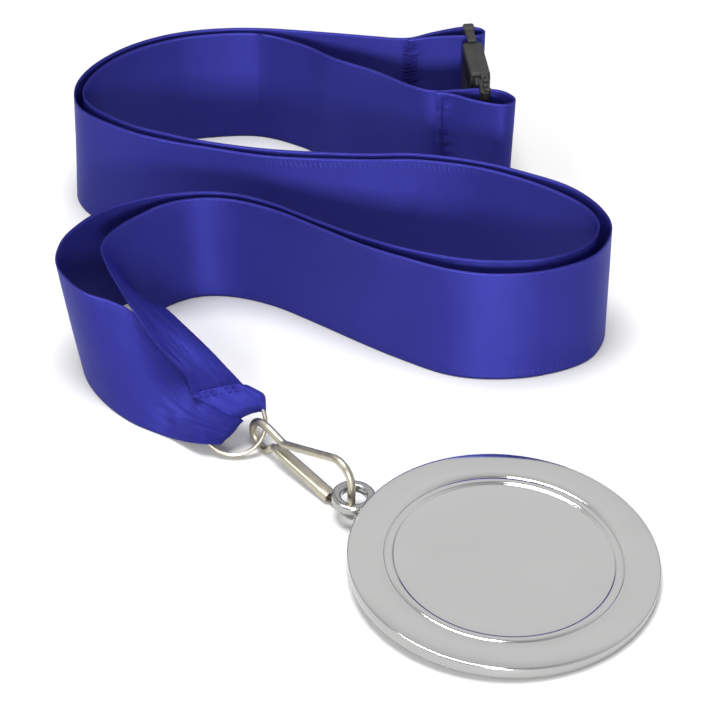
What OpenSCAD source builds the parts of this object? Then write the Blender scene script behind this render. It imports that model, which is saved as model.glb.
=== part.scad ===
// Award medal on a sewn neck ribbon, laid down with its ribbon standing on edge.
// A cast disc hangs from a spring-wire snap hook, the hook hangs on a split ring,
// the ring is held in the folded hem of two satin ribbon strands, and the strands
// are joined behind the neck by a safety breakaway buckle.
// Millimetres. +Z is up and the floor is z = 0. The origin is the middle of the
// ground that the whole object covers.

/* [Medal] */
// Diameter of the cast disc
medal_d = 65; // [56:1:72]
// Thickness of the disc
medal_t = 3.1; // [2.9:0.1:3.6]
// Diameter of the plain middle, inside the bead
field_d = 45.8; // [36:0.2:46]
// Width of the raised bead around the middle
bead_w = 1.9; // [1.4:0.1:2.2]
// Outer radius of the hanging lug
lug_r = 4.65; // [4.4:0.05:4.8]
// Radius of the hole through the lug
lug_hole_r = 2.75; // [2.5:0.05:2.9]

/* [Hook and ring] */
// Thickness of the hook's wire
wire_d = 1.75; // [1.4:0.05:1.75]
// Width of the hook's sprung gate
gate_w = 2.6; // [2.6:0.1:2.8]
// Radius of the split ring, to the middle of its wire
ring_r = 6.8; // [6.7:0.05:6.9]
// Thickness of one coil of the split ring
ring_wire_d = 0.9; // [0.8:0.05:0.9]

/* [Ribbon] */
// Width of the satin ribbon
ribbon_w = 29; // [28:0.5:30]
// Thickness of the ribbon
ribbon_t = 0.6; // [0.4:0.1:0.6]

/* [Buckle] */
// Radius of the bars that the ribbon is looped round
bar_r = 1.2; // [1:0.05:1.25]
// Thickness of the socket's body
socket_t = 4.6; // [4.2:0.1:4.8]

/* [Hidden] */
$fn = 48;

chrome = [0.76, 0.76, 0.75];
nickel = [0.68, 0.66, 0.56];
satin = [0.17, 0.16, 0.58];
thread = [0.13, 0.12, 0.48];
acetal = [0.16, 0.16, 0.15];

// The split ring lies in a plane that leans back from the floor, half of it
// inside the hem.
ring_centre = [-25.1, -22.9, 6.1];
ring_lean = 50;
coil_gap = 0.72;
tunnel_slack = 0.12;

// The hook stands upright. Its own x runs from the eye along the floor towards
// the medal, and its own y is up. The origin is the middle of the eye.
hook_eye = [-18.8, -24.55, 4.15];
hook_turn = -47.8;
eye_r = 3.25;
hook_run = [[3.3, -1.1], [1.2, -eye_r], [-eye_r, -eye_r], [-eye_r, eye_r],
    [1.5, eye_r], [6.8, 2], [28.5, 10.8], [28.5, -eye_r], [18, -eye_r]];
hook_bends = [0, 1.8, eye_r - 0.1, eye_r - 0.1, 3, 2.5, 4.4, 1.7, 0];
gate_pivot = [3.85, -0.55];
gate_end = 21.9;
gate_flange = 0.35;

// The lug rests on the hook, so the disc is propped up on that side.
medal_tilt = 3;
lug_turn = 151;
lug_centre = [0.7, -45.2];
lug_t = 2.1;
lug_z = 0.5;
edge_round = 0.4;
lug_reach = medal_d / 2 + lug_r - 1.35;

// The rear bar of the buckle stands in the socket strand's loop.
rear_bar = [24.9, 92];
buckle_turn = -81.3;
bar_span = 24.4;
arm_h = 1;
floor_gap = 0.05;
buckle_h = ribbon_w + 0.95;
bar_knob = 1.1;
slot_bottom = floor_gap + arm_h + 0.15;
slot_h = ribbon_w - 1.4;
cavity = [9, 2.8, 18];

// Each row is one place along a strand, from the buckle to the hem: x, y and
// height of the ribbon's lower edge, then the way to its upper edge.
function upright(x, y) = [x, y, 0, 0, 0, 29];
function in_slot(x, y) = [x, y, 1.2, 0, 0, 27.6];

socket_route = [
    in_slot(11, 89), in_slot(17.5, 89.6), in_slot(23, 90.1), in_slot(26.9, 90.5),
    in_slot(28.6, 92.1), in_slot(27, 93.8), in_slot(23.2, 93.9), in_slot(16.5, 91.7),
    [10, 90, 0.6, 0, 0, 28.3], upright(2, 90), upright(-11, 91.2), upright(-24, 92),
    upright(-35.5, 91), upright(-45.5, 88), upright(-54.5, 82.5), upright(-61.5, 74.5),
    upright(-64.3, 66), [-61, 58, 0, -1, 0, 29], upright(-52, 51), upright(-43.5, 47.5),
    upright(-33.5, 45), upright(-18.5, 42), upright(0.5, 41.5), upright(12.5, 42),
    upright(25.5, 40), upright(36, 36), upright(44.5, 31), upright(50.5, 25.5),
    upright(52.8, 19), upright(50, 12.5), upright(42, 7.5), upright(32.5, 6),
    upright(22.5, 6.5), [11.5, 11, 0, -1, -1.3, 29], [1.5, 16.5, 0, -1, -2.5, 29],
    [-8.5, 22, 0, 0, -3, 29], [-17.5, 28, 0, -0.5, -3.3, 29], [-26.5, 31, 0, -0.5, -3, 29],
    [-35.5, 31, 0, -1, -2.8, 29], [-44, 29, 0, -3, -3.5, 29], [-51.5, 24.5, 0, -4.7, -4.3, 29],
    [-57, 17, 0, -5, -4, 29], [-59.3, 9.5, 0, -4.8, -2.5, 29], [-59, 2.5, 0, -5, -1.5, 29],
    [-56.7, -4.5, 0, -4.2, 0.5, 28.5], [-52.5, -11, 0, -4.4, 3.6, 28],
    [-47.5, -16, 0, -3.6, 7.2, 27], [-43.5, -18.7, 0, -3.2, 8.9, 24.8],
    [-39, -21.2, 0.3, -3, 9.9, 19.7], [-34.8, -23.5, 1, -2.5, 10.3, 14.6]];

plug_route = [
    [16.5, 69.2, 0.8, 0, 0, 28.1], [11.5, 71, 0.3, 0, 0, 28.7], upright(3.5, 76),
    upright(-5.5, 80.5), upright(-13.5, 86), upright(-23.5, 89.8), upright(-35.5, 88.8),
    upright(-44.8, 86), upright(-53.3, 81), upright(-59.5, 73.8), upright(-62.3, 66),
    [-59.3, 59.8, 0, -0.7, 0, 29], upright(-51.3, 53.3), upright(-43, 50),
    upright(-33.2, 47), upright(-18.5, 44.5), upright(0.5, 43.8), upright(12.5, 44.3),
    upright(26.5, 42), upright(37.5, 38), upright(47, 33), upright(53.5, 25.5),
    upright(55.5, 17.5), upright(51.5, 8.5), upright(41.5, 3), upright(30.5, 1.2),
    upright(20.5, 2.5), [10.5, 7.5, 0, 0, -1.1, 29], [1.5, 13, 0, 0, -2.3, 29],
    [-7.5, 19, 0, 0, -2.8, 29], [-17.5, 25.2, 0, 0, -3, 29], [-26.5, 28.3, 0, -1, -2.5, 29],
    [-34.5, 28.3, 0, -2, -2.6, 29], [-41, 25, 0, -3.5, -3, 29], [-44.5, 20.5, 1.5, -7, -5, 27.5],
    [-45.5, 17, 5, -9.4, -8.5, 24], [-44.8, 14, 8.5, -8.5, -12, 19.7],
    [-43.2, 11, 11, -6.9, -16, 16.4], [-41.2, 8, 12.5, -5.7, -19, 13.9],
    [-36.8, 2.2, 12.7, -6.7, -17.2, 11.1], [-32.2, -4.5, 12.6, -8, -12.4, 8],
    [-27.5, -11.2, 12.3, -9.6, -6.8, 4.7], [-25.5, -13.9, 12.1, -10, -4.7, 3]];

loop_route = [
    in_slot(18.2, 68.2), in_slot(25.5, 65.8), in_slot(32.5, 64.4), in_slot(35.8, 66.5),
    in_slot(33.5, 69.5), in_slot(27.5, 70.4), in_slot(22.5, 69.9),
    [17.1, 69.1, 0.9, 0, 0, 28]];

// The outline of the hem, in the plane of the ring and about the ring's centre
hem_outline = [[-9, -4.1], [-3.2, -4.2], [0.7, 0.7], [5.1, 2.6], [6.4, 2.6],
    [6.6, 6.1], [3, 8.2], [-2, 9.2], [-9.2, 9.2]];
hem_t = 2.9;

// A smooth curve through four rows of a route, t = 0 at b and t = 1 at c
function spline(a, b, c, d, t) =
    (2 * b + (c - a) * t + (2 * a - 5 * b + 4 * c - d) * t * t
        + (3 * b - a - 3 * c + d) * t * t * t) / 2;

function smooth(rows, steps) =
    let (last = len(rows) - 1)
    [for (i = [0:last - 1], k = [0:steps - 1])
            spline(rows[max(i - 1, 0)], rows[i], rows[i + 1], rows[min(i + 2, last)], k / steps),
        rows[last]];

function low_edge(row) = [row[0], row[1], max(row[2], 0)];
function high_edge(row) = low_edge(row) + [row[3], row[4], row[5]] * ribbon_w / 29;
function mid_line(row) = (low_edge(row) + high_edge(row)) / 2;

function half_thickness(rows, i) =
    let (ahead = mid_line(rows[min(i + 1, len(rows) - 1)]),
        behind = mid_line(rows[max(i - 1, 0)]),
        out = cross(ahead - behind, high_edge(rows[i]) - low_edge(rows[i])))
    out / norm(out) * ribbon_t / 2;

// One strand of ribbon: a closed strip that follows the rows of a route
module strip(route, steps = 3) {
    rows = smooth(route, steps);
    count = len(rows);
    points = [for (i = [0:count - 1])
        let (low = low_edge(rows[i]), high = high_edge(rows[i]), side = half_thickness(rows, i))
        each [low - side, low + side, high + side, high - side]];
    walls = [for (i = [0:count - 2], j = [0:3])
        let (a = 4 * i + j, b = 4 * i + (j + 1) % 4)
        each [[a, b + 4, b], [a, a + 4, b + 4]]];
    last = 4 * (count - 1);
    ends = [[0, 1, 2], [0, 2, 3], [last, last + 2, last + 1], [last, last + 3, last + 2]];
    polyhedron(points, concat(walls, ends));
}

// Round wire bent in a plane: straight runs between corners of given radii
function heading(from, to) = atan2(to[1] - from[1], to[0] - from[0]);
function turn_at(run, i) =
    let (raw = heading(run[i], run[i + 1]) - heading(run[i - 1], run[i]))
    raw > 180 ? raw - 360 : raw < -180 ? raw + 360 : raw;
function run_off(run, bends, i) =
    i == 0 || i == len(run) - 1 ? 0 : bends[i] * tan(abs(turn_at(run, i)) / 2);

module bent_wire(run, bends, d) {
    lap = 0.05;
    for (i = [0:len(run) - 2]) {
        start = run_off(run, bends, i);
        length = norm(run[i + 1] - run[i]) - start - run_off(run, bends, i + 1);
        translate(run[i]) rotate([0, 0, heading(run[i], run[i + 1])])
            translate([start - lap, 0, 0]) rotate([0, 90, 0])
            cylinder(d = d - 0.02, h = length + 2 * lap);
    }
    for (i = [1:len(run) - 2]) {
        turn = turn_at(run, i);
        side = sign(turn);
        translate(run[i]) rotate([0, 0, heading(run[i - 1], run[i])])
            translate([-run_off(run, bends, i), side * bends[i], 0])
            rotate([0, 0, side > 0 ? -90 : 90 + turn])
            rotate_extrude(angle = abs(turn)) translate([bends[i], 0]) circle(d = d);
    }
}

module at_hook() {
    translate(hook_eye) rotate([0, 0, hook_turn]) rotate([90, 0, 0]) children();
}

module at_ring() {
    translate(ring_centre) rotate([ring_lean, 0, 0]) children();
}

module at_buckle() {
    translate(rear_bar) rotate([0, 0, buckle_turn]) children();
}

// Cast disc with a domed rim, a raised bead, a plain middle and its hanging lug
module medal_disc() {
    out = medal_d / 2;
    bead_out = field_d / 2 + bead_w;
    lug_dir = [cos(lug_turn), sin(lug_turn)];
    profile = [[0, 0], [out - edge_round, 0], [out - 0.12, 0.12], [out, edge_round],
        [out, medal_t - 0.75], [out - 0.12, medal_t - 0.47], [out - edge_round, medal_t - 0.35],
        [out - 2.4, medal_t - 0.1], [out - 4.2, medal_t], [bead_out + 0.35, medal_t - 0.1],
        [bead_out + 0.15, medal_t - 0.35], [bead_out, medal_t - 0.35],
        [bead_out - bead_w * 0.2, medal_t - 0.12], [bead_out - bead_w / 2, medal_t - 0.02],
        [bead_out - bead_w * 0.8, medal_t - 0.12], [field_d / 2, medal_t - 0.4],
        [0, medal_t - 0.4]];
    color(chrome)
        translate([lug_centre[0] - lug_reach * lug_dir[0], lug_centre[1] - lug_reach * lug_dir[1],
            (out - edge_round) * sin(medal_tilt)])
        rotate([0, 0, lug_turn]) rotate([0, -medal_tilt, 0])
        difference() {
            union() {
                rotate_extrude($fn = 96) polygon(profile);
                translate([lug_reach, 0, lug_z]) cylinder(r = lug_r, h = lug_t);
            }
            translate([lug_reach, 0, -1]) cylinder(r = lug_hole_r, h = medal_t + 2);
        }
}

// Two coils of spring wire, one on the other
module split_ring() {
    color(nickel) at_ring() rotate_extrude() translate([ring_r, 0])
        for (side = [-1, 1]) translate([0, side * coil_gap / 2]) circle(d = ring_wire_d);
}

// The hook's single wire: neck, eye, back, nose and the tip that the gate closes on
module hook_wire() {
    color(nickel) at_hook() bent_wire(hook_run, hook_bends, wire_d);
}

// The wire's other leg, pressed into a springy channel that drops over the tip
module hook_gate() {
    tip_top = -eye_r + wire_d / 2 + 0.05;
    web = [[gate_pivot[0], -0.1], [gate_end, tip_top + 0.5], [gate_end, tip_top],
        [gate_pivot[0], -0.9]];
    flange = [[7, -0.6], [gate_end, tip_top + 0.4], [gate_end, -3.7], [16, -3.3], [7, -1.6]];
    color(nickel) at_hook() {
        translate([gate_pivot[0], gate_pivot[1], -gate_w / 2]) cylinder(r = 0.55, h = gate_w);
        translate([0, 0, -gate_w / 2]) linear_extrude(gate_w) polygon(web);
        for (z = [-gate_w / 2, gate_w / 2 - gate_flange])
            translate([0, 0, z]) linear_extrude(gate_flange) polygon(flange);
    }
}

// The strands' ends, pleated together, folded round half of the ring and sewn
module ring_hem() {
    color(satin) at_ring() difference() {
        translate([0, 0, -hem_t / 2]) linear_extrude(hem_t) polygon(hem_outline);
        rotate_extrude() translate([ring_r, 0])
            square([ring_wire_d + 2 * tunnel_slack,
                coil_gap + ring_wire_d + 2 * tunnel_slack], center = true);
    }
}

// One lock stitch: thread along both faces and one pin through the cloth
module stitch(length, cloth) {
    for (side = [-1, 1])
        translate([0, side * cloth / 2, -length / 2]) cylinder(r = 0.2, h = length, $fn = 16);
    rotate([90, 0, 0]) translate([0, 0, -cloth / 2]) cylinder(r = 0.12, h = cloth, $fn = 16);
}

module hem_stitches() {
    color(thread) at_ring() for (i = [0:5])
        translate([-8 + 1.9 * i, 8.2, 0]) rotate([90, 0, 90]) stitch(1.3, hem_t);
}

module loop_stitches(place, turn) {
    color(thread) for (i = [0:7])
        translate([place[0], place[1], 4 + 3.2 * i]) rotate([0, 0, turn])
            stitch(2.2, 2 * ribbon_t + 0.35);
}

module socket_strand() {
    color(satin) strip(socket_route);
}

module socket_loop_stitches() {
    loop_stitches([12, 89.75], 5);
}

module plug_strand() {
    color(satin) strip(plug_route);
}

module plug_loop() {
    color(satin) strip(loop_route);
}

module plug_loop_stitches() {
    loop_stitches([18.7, 68.7], -5);
}

// A bar and the two arms that join it to its half of the buckle, from x to x + reach
module bar_and_arms(bar_x, arm_x, reach, knob = 0) {
    translate([bar_x, 0, floor_gap]) cylinder(r = bar_r, h = buckle_h + knob);
    for (z = [floor_gap, floor_gap + buckle_h - arm_h])
        translate([arm_x, -bar_r + 0.1, z]) cube([reach, 2 * bar_r - 0.2, arm_h]);
}

// The buckle half that is looped in the socket strand, with a mouth for the plug
module buckle_socket() {
    half = socket_t / 2;
    body = [[4.2, -half + 0.8], [6.4, -half], [15, -half], [17.6, -half + 0.3],
        [17.6, half - 0.3], [15, half], [6.4, half], [4.2, half - 0.8]];
    color(acetal) at_buckle() {
        bar_and_arms(0, 0, 5, bar_knob);
        difference() {
            translate([0, 0, floor_gap]) linear_extrude(buckle_h) polygon(body);
            translate([9.6, -cavity[1] / 2, (buckle_h - cavity[2]) / 2]) cube(cavity);
        }
    }
}

// The buckle half that is looped in the plug strand, with two snap prongs
module buckle_plug() {
    prong_h = 4;
    color(acetal) at_buckle() {
        bar_and_arms(bar_span, 20, bar_span - 20);
        translate([18, -1.9, floor_gap]) cube([2.9, 3.8, buckle_h]);
        for (z = [buckle_h / 2 - 7, buckle_h / 2 + 3]) {
            translate([12.6, -1.1, z]) cube([5.6, 2.2, prong_h]);
            for (y = [-0.9, 0.9]) translate([13.8, y, z]) cylinder(r = 0.42, h = prong_h);
        }
    }
}

medal_disc();
split_ring();
hook_wire();
hook_gate();
ring_hem();
hem_stitches();
socket_strand();
socket_loop_stitches();
plug_strand();
plug_loop();
plug_loop_stitches();
buckle_socket();
buckle_plug();
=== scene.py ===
import math
import bmesh
import bpy
from mathutils import Matrix, Vector, noise


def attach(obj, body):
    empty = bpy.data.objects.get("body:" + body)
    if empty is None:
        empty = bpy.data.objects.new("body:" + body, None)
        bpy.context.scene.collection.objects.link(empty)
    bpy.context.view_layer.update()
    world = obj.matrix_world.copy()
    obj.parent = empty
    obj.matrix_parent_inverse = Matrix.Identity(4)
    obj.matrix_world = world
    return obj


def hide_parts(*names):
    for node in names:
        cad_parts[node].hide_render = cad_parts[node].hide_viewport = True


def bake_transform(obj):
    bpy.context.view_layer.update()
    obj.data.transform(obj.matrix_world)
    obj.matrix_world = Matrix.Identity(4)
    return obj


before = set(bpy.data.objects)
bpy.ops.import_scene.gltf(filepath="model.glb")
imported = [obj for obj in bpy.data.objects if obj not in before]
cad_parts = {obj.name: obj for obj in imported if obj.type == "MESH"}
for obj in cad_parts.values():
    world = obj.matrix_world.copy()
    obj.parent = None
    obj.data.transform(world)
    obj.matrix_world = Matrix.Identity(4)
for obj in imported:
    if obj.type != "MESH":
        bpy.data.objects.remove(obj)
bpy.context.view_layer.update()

# The camera stands in front of the medal with a long lens and looks down on it. A pale
# floor carries the piece, and big soft lamps with a bright sky give it plain studio light.
scene = bpy.context.scene
scene.view_settings.view_transform = "Standard"
roll = math.radians(1.262)
level, down = 0.77787, 0.62842
look = Vector((0, level, -down))
side = Vector((math.cos(roll), down * math.sin(roll), level * math.sin(roll)))
above = side.cross(look)
camera = bpy.data.objects.new("camera", bpy.data.cameras.new("camera"))
camera.data.lens = 210
camera.data.sensor_width = 36
camera.data.clip_start, camera.data.clip_end = 0.05, 20
camera.matrix_world = Matrix.Translation((0.0015, -0.71055, 0.5797)) @ Matrix(
    (side, above, -look)).transposed().to_4x4()
scene.collection.objects.link(camera)
scene.camera = camera


class Shade:
    """A node socket that can be reckoned with like a number."""

    def __init__(self, tree, socket=None):
        self.tree, self.socket = tree, socket

    def add(self, kind, settings=None, inputs=None, out=0):
        node = self.tree.nodes.new("ShaderNode" + kind)
        for name, value in (settings or {}).items():
            if name == "stops":
                while len(node.color_ramp.elements) < len(value):
                    node.color_ramp.elements.new(1)
                for element, (place, colour) in zip(node.color_ramp.elements, value):
                    element.position, element.color = place, (*colour, 1)
            else:
                setattr(node, name, value)
        for key, value in (inputs or {}).items():
            if isinstance(value, Shade):
                self.tree.links.new(value.socket, node.inputs[key])
            else:
                node.inputs[key].default_value = value
        return Shade(self.tree, node.outputs[out])

    def math(self, operation, first, second=0.0):
        return self.add("Math", {"operation": operation}, {0: first, 1: second})

    def __add__(self, other):
        return self.math("ADD", self, other)

    def __sub__(self, other):
        return self.math("SUBTRACT", self, other)

    def __rsub__(self, other):
        return self.math("SUBTRACT", other, self)

    def __mul__(self, other):
        return self.math("MULTIPLY", self, other)

    __radd__, __rmul__ = __add__, __mul__

    def mix(self, first, second):
        """The colour between two, by how large this value is."""
        return self.add("Mix", {"data_type": "RGBA"}, {0: self, 6: first, 7: second}, 2)


sky = bpy.data.worlds.new("studio")
sky.use_nodes = True
scene.world = sky
air = Shade(sky.node_tree)
up = air.add("SeparateXYZ", None, {0: air.add("TexCoord", None, None, "Generated")}, 2)
sky.node_tree.nodes["Background"].inputs["Strength"].default_value = 1.0
glow = air.add("ValToRGB", {"stops": [
    (0.0, (0.8, 0.8, 0.8)), (0.48, (0.6, 0.6, 0.6)), (0.6, (0.32, 0.32, 0.32)),
    (0.77, (0.78, 0.78, 0.78)), (0.87, (0.86, 0.86, 0.86)), (1.0, (0.25, 0.25, 0.25))]},
    {0: up * 0.5 + 0.5})
sky.node_tree.links.new(glow.socket, sky.node_tree.nodes["Background"].inputs["Color"])


def lamp(name, place, target, size, power):
    """A square softbox that points at the target."""
    light = bpy.data.lights.new(name, "AREA")
    light.shape, light.size, light.energy = "SQUARE", size, power
    box = bpy.data.objects.new(name, light)
    box.location = place
    box.rotation_euler = (Vector(target) - Vector(place)).to_track_quat("-Z", "Y").to_euler()
    scene.collection.objects.link(box)


lamp("key", (-0.12, 0.0, 1.15), (0, 0, 0.01), 0.5, 16.5)
lamp("front", (0.05, -1.13, 0.44), (0, 0, 0.02), 0.24, 12.0)
lamp("fill", (-0.8, -0.5, 0.5), (0, 0, 0.01), 0.4, 1.0)


def piece(name, bm, smooth=True):
    """Turns a finished bmesh into an object of the scene."""
    mesh = bpy.data.meshes.new(name)
    bm.to_mesh(mesh)
    bm.free()
    mesh.polygons.foreach_set("use_smooth", [smooth] * len(mesh.polygons))
    made = bpy.data.objects.new(name, mesh)
    scene.collection.objects.link(made)
    return made


def finish_of(name, sockets):
    """A material with its constant sockets set, and a Shade to build the rest from."""
    material = bpy.data.materials.new(name)
    material.use_nodes = True
    shader = material.node_tree.nodes["Principled BSDF"]
    for key, value in sockets.items():
        shader.inputs[key].default_value = value
    return material, Shade(material.node_tree)


def feed(material, **links):
    """Links shades to the shader's sockets: base_color to Base Color, and so on."""
    shader = material.node_tree.nodes["Principled BSDF"]
    for key, shade in links.items():
        socket = shader.inputs[key.replace("_", " ").title()]
        material.node_tree.links.new(shade.socket, socket)


def speckle(s, scale, detail=2.0):
    """Noise that stays fixed to the object."""
    spot = s.add("TexCoord", None, None, "Object")
    return s.add("TexNoise", None, {"Vector": spot, "Scale": scale, "Detail": detail})


bm = bmesh.new()
bmesh.ops.create_grid(bm, x_segments=8, y_segments=8, size=6)
floor = piece("floor", bm)
floor_paint, s = finish_of("floor paint", {"Roughness": 0.6, "Specular IOR Level": 0.25})
feed(floor_paint, base_color=speckle(s, 3.0).mix((0.58, 0.58, 0.58, 1), (0.60, 0.60, 0.60, 1)))
floor.data.materials.append(floor_paint)

# The two strands of neck ribbon are royal blue polyester satin, 29 mm wide, with a
# woven edge. They were laid down on edge, one inside the other, and turn three times
# between the buckle and the hem. Each route is a list of places along the cloth.
ribbon_w = 0.029
ribbon_t = 0.00032
ring_centre = Vector((-0.0251, -0.0229, 0.0061))
ring_seat = Matrix.Translation(ring_centre) @ Matrix.Rotation(math.radians(50), 4, "X")


def by_ring(low, high):
    """A row of a route given in the split ring's own frame, in millimetres."""
    low, high = (ring_seat @ (Vector(end) * 0.001) * 1000 for end in (low, high))
    return (*low, *(high - low))


def curve_at(points, i, t):
    """The place a share t of the way from point i to the next, on a smooth curve."""
    a, b = points[max(i - 1, 0)], points[i]
    c, d = points[i + 1], points[min(i + 2, len(points) - 1)]
    return (2 * b + (c - a) * t + (2 * a - 5 * b + 4 * c - d) * t * t
            + (3 * b - a - 3 * c + d) * t ** 3) / 2


def smooth_route(rows, steps):
    """The lower and upper edge of the cloth at each step along a route in millimetres."""
    rows = [(r[0], r[1], 0, 0, 0, 29) if len(r) == 2 else r for r in rows]
    rows = [Vector((*r[:3],)) * 0.001 for r in rows], [Vector(r[3:]) * 0.001 for r in rows]
    edges = []
    for i in range(len(rows[0]) - 1):
        for k in range(steps if i < len(rows[0]) - 2 else steps + 1):
            low, rise = (curve_at(values, i, k / steps) for values in rows)
            low.z = max(low.z, 0.0002)
            edges.append((low, low + rise))
    return edges


def finish_cloth(name, bm, uv, place):
    """Lays the weave on a net of cloth, which place gives for each vertex, and thickens it."""
    for face in bm.faces:
        for loop in face.loops:
            loop[uv].uv = place[loop.vert]
    cloth = piece(name, bm)
    thick = cloth.modifiers.new("thickness", "SOLIDIFY")
    thick.thickness, thick.offset = ribbon_t, 0
    return cloth


def lay_ribbon(name, rows, slack, part=(0, None), steps=8, across=36):
    """Wraps a flat grid of cloth along a part of a route, given by its first and last row.
    slack says how far the cloth stands off, from the distance along and place across."""
    edges = smooth_route(rows, steps)
    first, last = part[0] * steps, part[1] * steps if part[1] else len(edges) - 1
    middle = [(low + high) / 2 for low, high in edges]
    run = [0.0]
    for before, after in zip(middle, middle[1:]):
        run.append(run[-1] + (after - before).length)
    bm = bmesh.new()
    uv = bm.loops.layers.uv.new("cloth")
    bmesh.ops.create_grid(bm, x_segments=last - first, y_segments=across, size=0.5)
    place = {}
    for v in bm.verts:
        i = first + round((v.co.x + 0.5) * (last - first))
        share = v.co.y + 0.5
        place[v] = (run[i], share * ribbon_w)
        low, high = edges[i]
        ahead = middle[min(i + 1, len(edges) - 1)] - middle[max(i - 1, 0)]
        out = ahead.cross(high - low).normalized()
        v.co = low.lerp(high, share) + out * slack(run[i], run[-1], share)
    for edge in bm.edges:
        ends = {place[v][0] for v in edge.verts}
        edge.smooth = len(ends) == 2 or not ends & {run[first], run[last]}
    return finish_cloth(name, bm, uv, place), run[last] - run[first]


def satin(name):
    """Woven satin: fine slanting floats, a ribbed woven edge and soft long sheens."""
    material, s = finish_of(name, {
        "Metallic": 0.5, "Specular IOR Level": 0.3, "Specular Tint": (0.5, 0.54, 1.0, 1)})
    cloth = s.add("UVMap", {"uv_map": "cloth"})
    along = s.add("SeparateXYZ", None, {0: cloth})
    over = s.add("SeparateXYZ", None, {0: cloth}, 1)
    floats = s.math("SINE", (along * 0.8 + over) * (2 * math.pi / 0.00042))
    warp = s.math("SINE", over * (2 * math.pi / 0.00028))
    edge = s.math("MINIMUM", over, ribbon_w - over)
    selvedge = s.math("SUBTRACT", 1.0, s.add(
        "MapRange", {"interpolation_type": "SMOOTHSTEP"},
        {0: edge, 1: 0.0004, 2: 0.0009, 3: 0.0, 4: 1.0}))
    ribs = s.math("SINE", (along + over * 0.3) * (2 * math.pi / 0.0011))
    ticks = s.add("MapRange", {"interpolation_type": "SMOOTHSTEP"},
                  {0: s.math("ABSOLUTE", edge - 0.0016), 1: 0.0004, 2: 0.0010, 3: 1.0, 4: 0.0})
    worn = s.math("MAXIMUM", speckle(s, 38.0) * 5.0 - 2.3, 0.0)
    ticks = ticks * s.math("MAXIMUM", ribs, 0.0) * worn
    # Painted shade: the cloth's thin cut edges, which face up into the lamps, are painted a much
    # darker blue.
    painted_edge_shade = s.math("LESS_THAN", edge, 0.00012)
    blotch = speckle(s, 55.0, 4.0)
    slub = s.add("TexNoise", None, {"Vector": s.add(
        "Mapping", None, {0: cloth, "Scale": (160.0, 2600.0, 1.0)}), "Scale": 1.0, "Detail": 3.0})
    shade = blotch * 0.5 + slub * 0.35 + floats * 0.1
    deep = (0.0145, 0.0148, 0.165, 1)
    bright = (0.034, 0.035, 0.295, 1)
    colour = shade.mix(deep, bright)
    colour = (ticks * 0.28 + selvedge * 0.1).mix(colour, (0.075, 0.07, 0.42, 1))
    colour = (painted_edge_shade * 0.7).mix(colour, (0.006, 0.005, 0.07, 1))
    height = floats * 0.2 + warp * 0.7 + slub * 0.5 + selvedge * 0.6 + ticks * 0.8
    bump = s.add("Bump", None, {"Strength": 0.9, "Distance": 0.00005, "Height": height})
    feed(material, base_color=colour, roughness=blotch * 0.12 + slub * 0.08 + 0.3, normal=bump)
    return material


socket_rows = [
    (11, 89.25, 0.6, 0, 0, 28.4), (17.5, 90, 1.1, 0, 0, 28.4), (23, 90.4, 1.2, 0, 0, 28.4),
    (26.9, 90.7, 1.2, 0, 0, 28.4), (28.5, 92, 1.2, 0, 0, 28.4), (27, 93.5, 1.2, 0, 0, 28.4),
    (23.2, 93.6, 1.2, 0, 0, 28.4), (16.5, 91.5, 1, 0, 0, 28.4), (11.5, 89.8, 0.6, 0, 0, 28.4),
    (7, 89.6, 0.2, 0, 0, 28.8), (2, 89.9), (-11, 91.2), (-24, 92), (-35.5, 91), (-45.5, 88),
    (-54.5, 82.5), (-61.5, 74.5),
    (-64.3, 66), (-61, 58, 0, -1, 0, 29), (-52, 51), (-43.5, 47.5), (-33.5, 45), (-18.5, 42),
    (0.5, 41.5), (12.5, 42), (25.5, 40), (36, 36), (44.5, 31), (50.5, 25.5), (52.8, 19),
    (50, 12.5), (42, 7.5), (32.5, 6), (22.5, 6.5), (11.5, 11, 0, -1, -1.3, 29),
    (1.5, 16.5, 0, -1, -2.5, 29), (-8.5, 22, 0, 0, -3, 29), (-17.5, 28, 0, -0.5, -3.3, 29),
    (-26.5, 31, 0, -0.5, -3, 29), (-35.5, 31, 0, -1, -2.8, 29), (-44, 29, 0, -3, -3.5, 29),
    (-51.5, 24.5, 0, -4.7, -4.3, 29), (-57, 17, 0, -5, -4, 29), (-59.3, 9.5, 0, -4.8, -2.5, 29),
    (-59, 2.5, 0, -5, -1.5, 29), (-56.7, -4.5, 0, -4.2, 0.5, 28.5), (-52.5, -11, 0, -4.4, 3.6, 28),
    (-47.5, -16, 0, -3.6, 7.2, 27), (-43.5, -18.7, 0, -3.2, 8.9, 24.8),
    (-39, -21.2, 0.3, -3, 9.9, 19.7), by_ring((-11.0, -4.0, -2.7), (-12.6, 12.6, 0.0)),
    by_ring((-8.6, -4.4, -0.6), (-9.0, 8.4, 0.9)), by_ring((-6.2, -4.6, 1.0), (-5.2, 5.4, 1.6)),
    by_ring((-3.3, -4.6, 0.9), (1.0, 1.3, 1.4)), by_ring((-2.8, -4.4, -0.2), (1.7, 0.8, -0.2)),
    by_ring((-5.5, -3.9, -1.2), (-1.6, 3.2, -1.2))]
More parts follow.
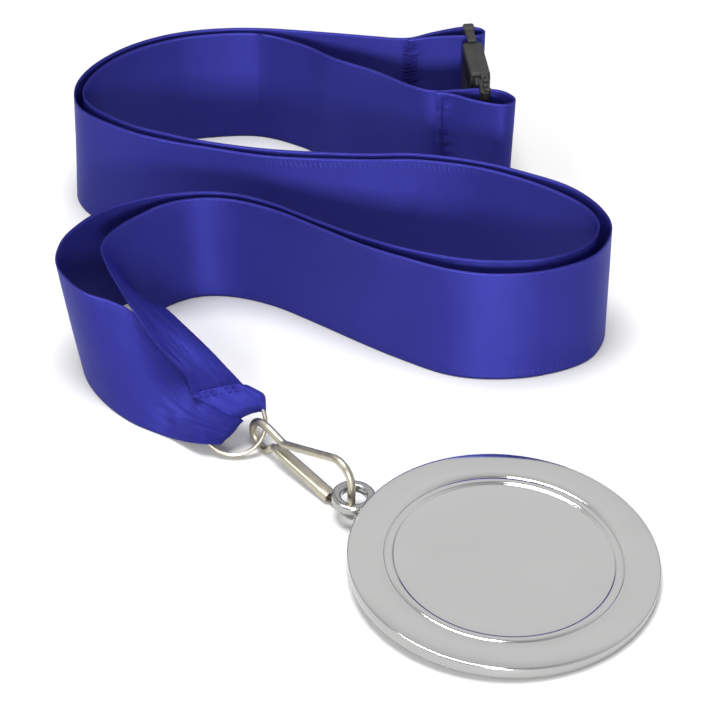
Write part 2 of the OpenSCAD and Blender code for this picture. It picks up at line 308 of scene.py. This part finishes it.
plug_rows = [
    (17.5, 68.85, 1.2, 0, 0, 27.6), (21.5, 68.1, 1.2, 0, 0, 27.6), (26.5, 65.9, 1.2, 0, 0, 27.6),
    (32.5, 64.5, 1.2, 0, 0, 27.6), (34.6, 66.5, 1.2, 0.6, 0, 27.6), (32.5, 69.5, 1.2, 0, 0, 27.6),
    (27.5, 70.4, 1.2, 0, 0, 27.6),
    (22.5, 69.9, 1.2, 0, 0, 27.6), (16.5, 69.2, 0.8, 0, 0, 28.1), (11.5, 71, 0.3, 0, 0, 28.7),
    (3.5, 76), (-5.5, 80.5), (-13.5, 86), (-23.5, 89.8), (-35.5, 88.8), (-44.8, 86), (-53.3, 81),
    (-59.5, 73.8), (-62.3, 66), (-59.3, 59.8, 0, -0.7, 0, 29), (-51.3, 53.3), (-43, 50),
    (-33.2, 47), (-18.5, 44.5), (0.5, 43.8), (12.5, 44.3), (26.5, 42), (37.5, 38), (47, 33),
    (53.5, 25.5), (55.5, 17.5), (51.5, 8.5), (41.5, 3), (30.5, 1.2), (20.5, 2.5),
    (10.5, 7.5, 0, 0, -1.1, 29), (1.5, 13, 0, 0, -2.3, 29), (-7.5, 19, 0, 0, -2.8, 29),
    (-17.5, 25.2, 0, 0, -3, 29), (-26.5, 28.3, 0, -1, -2.5, 29), (-34.5, 28.3, 0, -2, -2.6, 29),
    (-41, 25, 0, -3.5, -3, 29), (-44.5, 20.5, 1.5, -7, -5, 27.5), (-45.5, 17, 5, -9.4, -8.5, 24),
    (-44.8, 14, 8.5, -8.5, -12, 19.7), (-43.2, 11, 11, -6.9, -16, 16.4),
    (-41.2, 8, 12.5, -5.7, -19, 13.9), (-36.8, 2.2, 12.7, -6.7, -17.2, 11.1),
    (-32.2, -4.5, 12.6, -8, -12.4, 8), (-27.5, -11.2, 12.3, -9.6, -6.8, 4.7),
    (-25.5, -13.9, 12.1, -10, -4.7, 3),
    by_ring((2.0, 8.0, -0.8), (-8.4, 5.4, 1.9)), by_ring((4.0, 6.2, 0.3), (-4.5, 3.2, 1.2))]


crease_reach = 0.05


def strand_slack(seam):
    """Gentle waves along a strand, a pucker at its loop's seam and creases by the hem."""
    def slack(run, length, share):
        wave = 0.00022 * noise.noise(Vector((run * 28, share * 1.3, seam)))
        pucker = 0.0006 * math.exp(-((run - seam) / 0.0022) ** 2) * noise.noise(
            Vector((run * 260, share * 20, 4.0)))
        left = (length - run) / crease_reach
        near = max(0.0, 1 - left) ** 1.3 * min(1.0, 0.25 + left * 2.5)
        fold = 0.0008 * noise.noise(Vector((run * 60, share * 4.0 + run * 60, 9.0)))
        fine = 0.0003 * noise.noise(Vector((run * 150, share * 16.0, 5.0)))
        return wave + pucker + near * (fold + fine)
    return slack


satin_cloth = satin("royal blue satin")
socket_strand, socket_run = lay_ribbon("socket_strand_cloth", socket_rows, strand_slack(0.0015))
socket_strand.data.materials.append(satin_cloth)
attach(socket_strand, "ribbon")
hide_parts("socket_strand")

plug_strand, plug_run = lay_ribbon(
    "plug_strand_cloth", plug_rows, strand_slack(0.0015), part=(13, None))
plug_strand.data.materials.append(satin_cloth)
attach(plug_strand, "ribbon")
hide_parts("plug_strand")

plug_end, end_run = lay_ribbon(
    "plug_end_cloth", plug_rows, strand_slack(0.0015), part=(0, 13))
plug_end.data.materials.append(satin_cloth)
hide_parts("plug_loop")
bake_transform(plug_end)

# The hem is the end of both strands, pleated to a third of their width, passed through
# the split ring, folded back and sewn down. The fold is drawn in by the ring's pull.
hem_net = [
    [(-9.2, 5.4, 1.8), (-7.5, 6.5, 2.2), (-4.0, 7.4, 2.4), (-0.5, 8.2, 2.3), (2.4, 8.2, 1.4)],
    [(-7.5, 4.9, 1.8), (-5.0, 5.4, 2.1), (-1.5, 6.2, 2.2), (2.0, 7.3, 2.0), (4.6, 7.2, 1.1)],
    [(-4.6, 3.2, 1.7), (-2.0, 3.9, 2.0), (1.0, 4.8, 2.1), (4.0, 5.8, 1.7), (6.3, 6.1, 0.9)],
    [(-1.4, 1.5, 1.5), (0.6, 2.1, 1.7), (2.8, 3.2, 1.7), (5.0, 3.9, 1.4), (6.6, 4.3, 0.7)],
    [(0.3, 0.4, 0), (1.9, 1.4, 0), (3.6, 2.2, 0), (5.2, 2.6, 0), (6.7, 2.8, 0)]]
hem_net += [[(x, y, -n) for x, y, n in row] for row in hem_net[3::-1]]
hem_w, hem_run = 0.0108, 0.0201
off_selvedge = 0.005


def along_net(points, t):
    """The place t on a smooth curve through a row of points, t from 0 to 1."""
    t *= len(points) - 1
    i = min(int(t), len(points) - 2)
    return curve_at(points, i, t - i)


bm = bmesh.new()
uv = bm.loops.layers.uv.new("cloth")
bmesh.ops.create_grid(bm, x_segments=56, y_segments=64, size=0.5)
net = [[Vector(p) * 0.001 for p in row] for row in hem_net]
place = {}
for v in bm.verts:
    over, along = v.co.x + 0.5, v.co.y + 0.5
    place[v] = (along * hem_run, off_selvedge + over * hem_w)
    v.co = along_net([along_net(row, over) for row in net], along)
    pleat = noise.noise(Vector((over * 7.0, along * 1.2, 2.0)))
    crumple = noise.noise(Vector((v.co.x * 420, v.co.y * 420, along * 3)))
    v.co.z += (0.00045 * pleat + 0.00022 * crumple) * (1 if along < 0.5 else -1)
bm.transform(ring_seat)
hem = finish_cloth("hem_cloth", bm, uv, place)
hem.data.materials.append(satin_cloth)
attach(hem, "ribbon")
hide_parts("ring_hem")

# The split ring is two flat coils of nickel-plated spring wire, one on the other. The wire
# steps across from one to the other inside the hem, and both ends are cut square.
bm = bmesh.new()
ring_r, ring_wire, coil = 0.0068, 0.0009, 0.00072
ring_sides, ring_steps = 20, 192
section = bmesh.ops.create_circle(bm, segments=ring_sides, radius=ring_wire / 2)["verts"]
bmesh.ops.rotate(bm, verts=section, cent=(0, 0, 0), matrix=Matrix.Rotation(math.pi / 2, 3, "X"))
bmesh.ops.translate(bm, verts=section, vec=(ring_r, 0, 0))
bmesh.ops.rotate(bm, verts=section, cent=(0, 0, 0), matrix=Matrix.Rotation(2.2, 3, "Z"))
bmesh.ops.contextual_create(bm, geom=bm.edges[:])
bmesh.ops.spin(bm, geom=bm.verts[:] + bm.edges[:] + bm.faces[:], cent=(0, 0, 0), axis=(0, 0, 1),
               angle=4 * math.pi, steps=ring_steps, use_duplicate=False)
for i, v in enumerate(bm.verts):
    step_over = min(1.0, max(0.0, (i // ring_sides / ring_steps - 0.46) / 0.08))
    v.co.z += coil * (step_over * step_over * (3 - 2 * step_over) - 0.5)
bmesh.ops.recalc_face_normals(bm, faces=bm.faces)
bm.transform(ring_seat)
split_ring = piece("split_ring_coils", bm)
nickel, s = finish_of("warm nickel plate", {"Metallic": 1.0, "Specular IOR Level": 0.5})
haze, drawn = speckle(s, 420.0, 5.0), speckle(s, 2600.0)
feed(nickel, base_color=(haze * 1.3 - 0.15).mix((0.36, 0.335, 0.26, 1), (0.56, 0.53, 0.43, 1)),
     roughness=haze * 0.2 + drawn * 0.08 + 0.2,
     normal=s.add("Bump", None, {"Strength": 0.12, "Distance": 0.00004,
                                 "Height": drawn + haze * 0.8}))
split_ring.data.materials.append(nickel)
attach(split_ring, "ring")
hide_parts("split_ring")

# The snap hook is one length of the same plated wire: an eye on the ring, a straight
# back, a nose that comes down through the medal's lug and a tip that the gate covers.
hook_seat = (Matrix.Translation((-0.0188, -0.02455, 0.00415))
             @ Matrix.Rotation(math.radians(-47.8), 4, "Z")
             @ Matrix.Rotation(math.pi / 2, 4, "X"))


def bend_wire(bm, run, bends, d):
    """Draws a wire through the corners of a run in the XY plane, bent at given radii."""
    run = [Vector((x, y, 0)) * 0.001 for x, y in run]
    ways = [(after - before).normalized() for before, after in zip(run, run[1:])]
    verts = bmesh.ops.create_circle(bm, segments=20, radius=d / 2)["verts"]
    turn = Vector((0, 0, 1)).rotation_difference(ways[0]).to_matrix()
    bmesh.ops.rotate(bm, verts=verts, cent=(0, 0, 0), matrix=turn)
    bmesh.ops.translate(bm, verts=verts, vec=run[0])
    tip = bm.edges[:]
    at = run[0]
    for i, way in enumerate(ways):
        radius = bends[i] * 0.001 if i + 1 < len(ways) else 0
        angle = way.angle(ways[i + 1]) if radius else 0
        stop = run[i + 1] - way * radius * math.tan(angle / 2)
        grown = bmesh.ops.extrude_edge_only(bm, edges=tip)["geom"]
        bmesh.ops.translate(bm, verts=[g for g in grown if isinstance(g, bmesh.types.BMVert)],
                            vec=stop - at)
        tip = [g for g in grown if isinstance(g, bmesh.types.BMEdge)]
        if radius:
            hand = 1 if way.cross(ways[i + 1]).z > 0 else -1
            inward = Vector((-way.y, way.x, 0)) * hand
            spun = bmesh.ops.spin(bm, geom=tip + list({v for e in tip for v in e.verts}),
                                  cent=stop + inward * radius, axis=(0, 0, hand), angle=angle,
                                  steps=max(4, round(angle * 9)), use_duplicate=False)
            tip = [g for g in spun["geom_last"] if isinstance(g, bmesh.types.BMEdge)]
        at = run[i + 1] + (ways[i + 1] * radius * math.tan(angle / 2) if radius else Vector())
    bmesh.ops.holes_fill(bm, edges=bm.edges[:], sides=0)
    bmesh.ops.recalc_face_normals(bm, faces=bm.faces)


bm = bmesh.new()
eye_r = 3.25
bend_wire(bm, [(3.5, -0.95), (1.2, -eye_r), (-eye_r, -eye_r), (-eye_r, eye_r), (1.5, eye_r),
               (6.8, 2), (28.5, 10.8), (28.5, -eye_r), (18, -eye_r)],
          [1.8, 3.15, 3.15, 3, 2.5, 4.4, 1.7], 0.00175)
bm.transform(hook_seat)
hook = piece("hook_wire_bent", bm)
hook.data.materials.append(nickel)
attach(hook, "hook")
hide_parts("hook_wire")

# The gate is the wire's other leg, pressed flat into a springy channel. It covers the
# tip and is pushed in with a thumbnail to let the lug on or off.
bm = bmesh.new()
gate_profile = [(-1.25, -1), (-1.3, -0.35), (-1.15, -0.05), (-0.85, 0), (0, 0.03), (0.85, 0),
                (1.15, -0.05), (1.3, -0.35), (1.25, -1)]
gate_line = [bm.verts.new((0, y, z)) for z, y in gate_profile]
run = [bm.edges.new(pair) for pair in zip(gate_line, gate_line[1:])]
stations = [(3.1, -0.7, 0.45, 0.5), (4.2, -0.15, 0.72, 0.75), (6.0, -0.2, 0.92, 0.95),
            (9.0, -0.48, 1, 1.2), (13.0, -0.9, 1, 1.35), (17.5, -1.4, 1, 1.5),
            (21.9, -1.85, 1, 1.8)]
rows = [gate_line]
for _ in stations[1:]:
    grown = bmesh.ops.extrude_edge_only(bm, edges=run)["geom"]
    run = [g for g in grown if isinstance(g, bmesh.types.BMEdge)]
    fresh = {g for g in grown if isinstance(g, bmesh.types.BMVert)}
    rows.append([next(e.other_vert(v) for e in v.link_edges if e.other_vert(v) in fresh)
                 for v in rows[-1]])
for row, (x, top, wide, deep) in zip(rows, stations):
    for v, (z, y) in zip(row, gate_profile):
        v.co = Vector((x, top + y * deep, z * wide)) * 0.001
bm.transform(hook_seat)
gate = piece("hook_gate_channel", bm)
wall = gate.modifiers.new("wall", "SOLIDIFY")
wall.thickness, wall.offset = 0.00035, 0
edge = gate.modifiers.new("rounding", "BEVEL")
edge.width, edge.segments, edge.limit_method = 0.00008, 2, "ANGLE"
gate.data.materials.append(nickel)
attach(gate, "gate")
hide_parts("hook_gate")

# The medal is a die-cast disc, 65 mm across, polished and plated to a mirror. Its face
# has a softly domed rim, a raised bead and a plain middle, and a lug is cast on its edge.
medal_d, medal_t, field_d, bead_w = 65.0, 3.1, 45.8, 1.9
lug_reach = medal_d / 2 + 4.65 - 1.35
lug_way = math.radians(151)
medal_seat = (Matrix.Translation(Vector((
    0.7 - lug_reach * math.cos(lug_way), -45.2 - lug_reach * math.sin(lug_way),
    (medal_d / 2 - 0.4) * math.sin(math.radians(3)))) * 0.001)
    @ Matrix.Rotation(lug_way, 4, "Z") @ Matrix.Rotation(math.radians(-3), 4, "Y"))


def turn_profile(bm, points, cent, steps, close=False):
    """Spins a profile of (radius, height) in millimetres round an upright line."""
    verts = [bm.verts.new(Vector((r, 0, z)) * 0.001 + Vector(cent)) for r, z in points]
    pairs = list(zip(verts, verts[1:] + verts[:1] if close else verts[1:]))
    edges = [bm.edges.new(pair) for pair in pairs]
    bmesh.ops.spin(bm, geom=verts + edges, cent=cent, axis=(0, 0, 1), angle=2 * math.pi,
                   steps=steps, use_merge=True, use_duplicate=False)


bm = bmesh.new()
out, bead_out = medal_d / 2, field_d / 2 + bead_w
bead_mid = bead_out - bead_w / 2
profile = [(0, 0), (out - 0.9, 0), (out - 0.4, 0.05), (out - 0.1, 0.22), (out, 0.5),
           (out, medal_t - 0.52), (out - 0.05, medal_t - 0.36), (out - 0.16, medal_t - 0.24),
           (out - 0.32, medal_t - 0.18), (out - 0.6, medal_t - 0.145), (out - 2.2, medal_t - 0.07),
           (out - 4.0, medal_t - 0.015), (out - 5.0, medal_t), (bead_out + 0.32, medal_t),
           (bead_out + 0.16, medal_t - 0.04), (bead_out + 0.06, medal_t - 0.16),
           (bead_out - 0.02, medal_t - 0.18), (bead_out - 0.1, medal_t - 0.12),
           (bead_out - 0.3, medal_t - 0.06), (bead_mid, medal_t - 0.02),
           (field_d / 2 + 0.45, medal_t - 0.06), (field_d / 2 + 0.2, medal_t - 0.14),
           (field_d / 2 + 0.05, medal_t - 0.3), (field_d / 2 - 0.05, medal_t - 0.35),
           (field_d / 2 - 0.2, medal_t - 0.37), (field_d / 2 - 2.0, medal_t - 0.38),
           (0, medal_t - 0.38)]
turn_profile(bm, profile, (0, 0, 0), 192)
lug = [(2.75, 0.85), (2.75, 2.25), (2.95, 2.5), (3.2, 2.6), (4.2, 2.6), (4.45, 2.5),
       (4.65, 2.25), (4.65, 0.85), (4.45, 0.6), (4.2, 0.5), (3.2, 0.5), (2.95, 0.6)]
turn_profile(bm, lug, (lug_reach * 0.001, 0, 0), 64, close=True)
bmesh.ops.remove_doubles(bm, verts=bm.verts, dist=0.000002)
bmesh.ops.recalc_face_normals(bm, faces=bm.faces)
bm.transform(medal_seat)
medal = piece("medal_casting", bm)
chrome, s = finish_of("mirror chrome", {"Metallic": 1.0, "Specular IOR Level": 0.5})
haze, swirl = speckle(s, 60.0, 4.0), speckle(s, 900.0, 3.0)
from_middle = s.add("VectorMath", {"operation": "DISTANCE"}, {
    0: s.add("TexCoord", None, None, "Object"), 1: medal_seat @ Vector((0, 0, medal_t * 0.0005))}, 1)
# Painted shade: the medal's side wall gets a darker base colour than its face, which dims the
# floor's reflection in it.
wall = s.add("MapRange", None, {0: from_middle, 1: 0.0323, 2: 0.0325, 3: 0.0, 4: 1.0})
plate = haze.mix((0.60, 0.60, 0.595, 1), (0.66, 0.66, 0.655, 1))
feed(chrome, base_color=wall.mix(plate, (0.42, 0.42, 0.415, 1)),
     roughness=haze * 0.05 + swirl * 0.02 + wall * 0.08 + 0.05,
     normal=s.add("Bump", None, {"Strength": 0.02, "Distance": 0.00005, "Height": haze + swirl}))
medal.data.materials.append(chrome)
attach(medal, "medal")
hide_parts("medal_disc")

# The breakaway buckle is moulded in black acetal, darker and glossier in the plug. Each
# half has a round bar for its ribbon loop between two arms, and the socket's ends in a knob.
bar_r, bar_h, arm_t = 0.0012, 0.0299, 1.0
buckle_seat = (Matrix.Translation((0.0249, 0.092, 0))
               @ Matrix.Rotation(math.radians(-81.3), 4, "Z"))
acetal, s = finish_of("black acetal", {"Specular IOR Level": 0.4})
grain, wear = speckle(s, 2400.0, 3.0), speckle(s, 180.0, 4.0)
feed(acetal, base_color=wear.mix((0.009, 0.009, 0.0087, 1), (0.023, 0.023, 0.022, 1)),
     roughness=grain * 0.2 + wear * 0.15 + 0.35,
     normal=s.add("Bump", None, {"Strength": 0.3, "Distance": 0.00008, "Height": grain}))


def block(bm, low, high, rounding=0.25):
    """A moulded block between two corners in millimetres, its edges rounded."""
    low, high = Vector(low) * 0.001, Vector(high) * 0.001
    verts = bmesh.ops.create_cube(bm, size=1)["verts"]
    bmesh.ops.scale(bm, verts=verts, vec=high - low)
    bmesh.ops.translate(bm, verts=verts, vec=(low + high) / 2)
    edges = list({e for v in verts for e in v.link_edges})
    bmesh.ops.bevel(bm, geom=edges, offset=rounding * 0.001, segments=3, profile=0.5,
                    affect="EDGES", material=-1)


def bar_and_arms(bm, bar_x, arm_x, top):
    """The bar that a ribbon loop goes round, and the arms at both its ends."""
    verts = bmesh.ops.create_cone(bm, cap_ends=True, segments=32, radius1=bar_r,
                                  radius2=bar_r, depth=bar_h)["verts"]
    bmesh.ops.translate(bm, verts=verts, vec=(bar_x * 0.001, 0, 0.015025))
    ends = sorted((bar_x + (0.6 if bar_x > arm_x else -0.6), arm_x))
    for z in (0.05, top):
        block(bm, (ends[0] - 0.3, -1.05, z), (ends[1], 1.05, z + arm_t), 0.35)


bm = bmesh.new()
bar_and_arms(bm, 0, 5.2, 29.65)
block(bm, (-1.3, -1.35, 29.6), (1.2, 1.35, 31.2), 0.6)
block(bm, (4.3, -1.9, 0.15), (7.0, 1.9, 29.8), 0.7)
block(bm, (5.4, -2.3, 0.3), (17.6, -1.4, 28.9), 0.3)
block(bm, (5.4, 1.4, 0.3), (17.6, 2.3, 28.9), 0.3)
block(bm, (5.0, -2.3, 0.1), (17.6, 2.3, 6.0), 0.6)
block(bm, (5.0, -2.3, 24.0), (17.6, 2.3, 30.0), 0.6)
block(bm, (6.0, -0.12, 29.7), (17.0, 0.5, 30.12), 0.12)
for z in (8.5, 11.5, 14.5, 17.5, 20.5):
    block(bm, (10.5, 2.1, z), (15.5, 2.45, z + 1.0), 0.15)
    block(bm, (10.5, -2.45, z), (15.5, -2.1, z + 1.0), 0.15)
bmesh.ops.recalc_face_normals(bm, faces=bm.faces)
bm.transform(buckle_seat)
socket = piece("buckle_socket_moulding", bm, smooth=False)
socket.data.materials.append(acetal)
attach(socket, "ribbon")
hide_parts("buckle_socket")

bm = bmesh.new()
bar_and_arms(bm, 24.4, 20.2, 29.0)
block(bm, (17.9, -1.7, 0.1), (20.6, 1.7, 29.4), 0.4)
block(bm, (17.8, -0.4, 27.0), (20.8, 1.5, 30.2), 0.5)
for x, y in ((18.3, 0.4), (20.1, 0.7), (21.9, 0.35), (23.6, 0.55)):
    block(bm, (x, y - 0.75, 29.3), (x + 1.3, y + 0.75, 30.6), 0.45)
for z in (8.0, 18.0):
    block(bm, (12.6, -1.1, z), (18.4, 1.1, z + 4.0), 0.3)
for z in (3.0, 7.0, 11.0, 15.0, 19.0, 23.0):
    block(bm, (18.5, 1.6, z), (20.2, 1.9, z + 1.4), 0.14)
bmesh.ops.recalc_face_normals(bm, faces=bm.faces)
bm.transform(buckle_seat)
plug = piece("buckle_plug_moulding", bm, smooth=False)
jet, s = finish_of("jet black acetal", {"Specular IOR Level": 0.5})
grain, flow = speckle(s, 2400.0, 3.0), speckle(s, 520.0, 4.0)
feed(jet, base_color=flow.mix((0.003, 0.003, 0.003, 1), (0.012, 0.012, 0.0115, 1)),
     roughness=grain * 0.15 + flow * 0.2 + 0.25,
     normal=s.add("Bump", None, {"Strength": 0.35, "Distance": 0.0001,
                                 "Height": grain * 0.4 + flow}))
plug.data.materials.append(jet)
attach(plug, "plug")
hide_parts("buckle_plug")

# The seams are sewn in blue polyester thread, a shade darker than the cloth: a wide zigzag
# closes the socket's loop, a narrow one the plug's loop, and two straight rows the hem.
stitch_r, seam_foot, seam_h = 0.00017, 3.0, 24.5
hem_count, hem_stitch = 6, 0.0011
thread, s = finish_of("blue thread", {"Roughness": 0.7, "Specular IOR Level": 0.1})
twist = speckle(s, 5200.0)
feed(thread, base_color=twist.mix((0.009, 0.007, 0.10, 1), (0.02, 0.017, 0.18, 1)),
     normal=s.add("Bump", None, {"Strength": 0.6, "Distance": 0.00006, "Height": twist}))


def sew(bm, place, way, length):
    """One stitch: a short thread that dips into the cloth at both ends."""
    way = Vector(way).normalized()
    verts = bmesh.ops.create_icosphere(bm, subdivisions=2, radius=1)["verts"]
    bmesh.ops.scale(bm, verts=verts, vec=(stitch_r, stitch_r, length / 2))
    turn = Vector((0, 0, 1)).rotation_difference(way).to_matrix()
    bmesh.ops.rotate(bm, verts=verts, cent=(0, 0, 0), matrix=turn)
    bmesh.ops.translate(bm, verts=verts, vec=place)


for name, body, front, back, wide, count, node in (
        ("socket_loop_thread", "ribbon", (11.6, 89.05), (11.6, 90.05), 3.0, 46,
         "socket_loop_stitches"),
        ("plug_loop_thread", "plug", (18.9, 67.85), (18.9, 69.75), 0.5, 34,
         "plug_loop_stitches")):
    bm = bmesh.new()
    for i in range(count):
        for x, y in (front, back):
            hand = 1 if i % 2 else -1
            spot = Vector((x + wide * 0.12 * hand, y, seam_foot + seam_h * i / count)) * 0.001
            sew(bm, spot, (hand * wide, hand * wide * 0.18, 1.1), 0.001 * math.hypot(wide, 1.0))
    seam = piece(name, bm)
    seam.data.materials.append(thread)
    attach(seam, body)
    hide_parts(node)

bm = bmesh.new()
for (start, stop) in (((-8.4, 6.0, 2.35), (0.6, 7.8, 2.6)), ((-8.0, 5.2, 2.3), (1.4, 7.0, 2.6))):
    start, stop = Vector(start) * 0.001, Vector(stop) * 0.001
    for i in range(hem_count):
        sew(bm, start.lerp(stop, (i + 0.5) / hem_count), stop - start, hem_stitch)
bm.transform(ring_seat)
hem_thread = piece("hem_thread", bm)
hem_thread.data.materials.append(thread)
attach(hem_thread, "ribbon")
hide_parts("hem_stitches")
